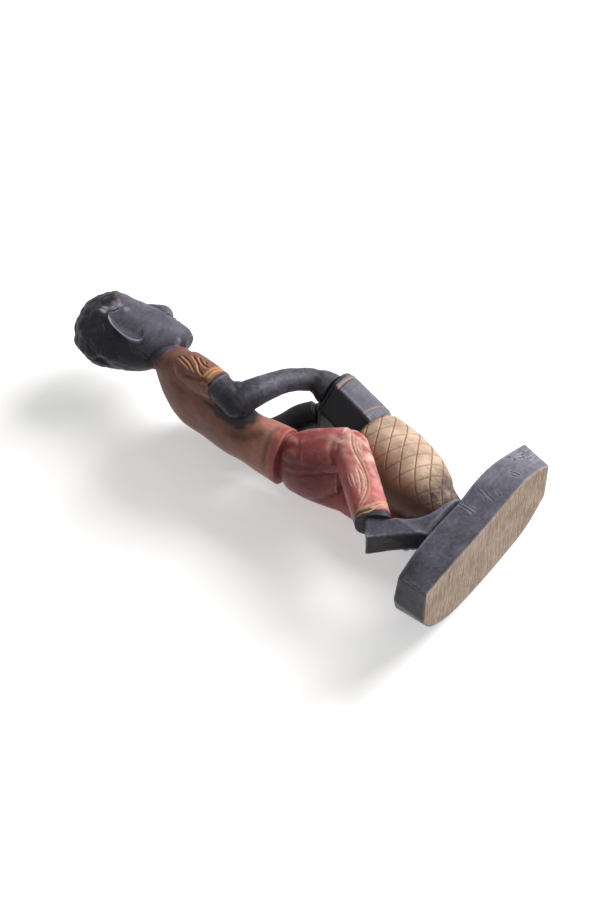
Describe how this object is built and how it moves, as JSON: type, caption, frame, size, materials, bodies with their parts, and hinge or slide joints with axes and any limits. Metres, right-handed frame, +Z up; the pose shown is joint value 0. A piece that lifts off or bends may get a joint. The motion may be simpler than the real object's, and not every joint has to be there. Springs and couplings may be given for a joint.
{
  "type": "carved drummer figurine",
  "caption": "Carved and painted wooden figurine of a crouching drummer holding a tapered lattice-carved drum between the knees on a thick waisted plinth",
  "frame": {"origin": "on the plinth's flat underside, under the middle of the neck", "axes": "+Z up from the underside through the head, -Y the way the figure faces, +X to the figure's left"},
  "size_m": [0.0814, 0.145, 0.3045],
  "materials": {
    "black_paint": "semi-matte black paint, worn on the ridges",
    "red_stain": "sanded red stain with darker maroon shading and pale cuts",
    "brown_stain": "sanded brown-red stain with streaks along the grain",
    "tan_wood": "tan-brown wood with crossing carved cuts, dark towards the foot",
    "peg_wood": "bare round hardwood pegs"
  },
  "bodies": {
    "root": {"plinth": "black_paint", "right_foot": "black_paint", "left_foot": "black_paint", "trousers": "red_stain", "shirt": "brown_stain", "right_arm": "black_paint", "left_arm": "black_paint", "head": "black_paint", "right_ear": "black_paint", "left_ear": "black_paint", "drum_body": "tan_wood", "drum_collar": "black_paint", "drum_skin": "black_paint", "neck_peg": "peg_wood", "waist_peg": "peg_wood", "right_sleeve_peg": "peg_wood", "left_sleeve_peg": "peg_wood", "right_ankle_peg": "peg_wood", "left_ankle_peg": "peg_wood", "right_sole_peg": "peg_wood", "left_sole_peg": "peg_wood", "drum_foot_peg": "peg_wood", "drum_neck_peg": "peg_wood", "right_hand_peg": "peg_wood", "left_hand_peg": "peg_wood"}
  },
  "joints": []
}
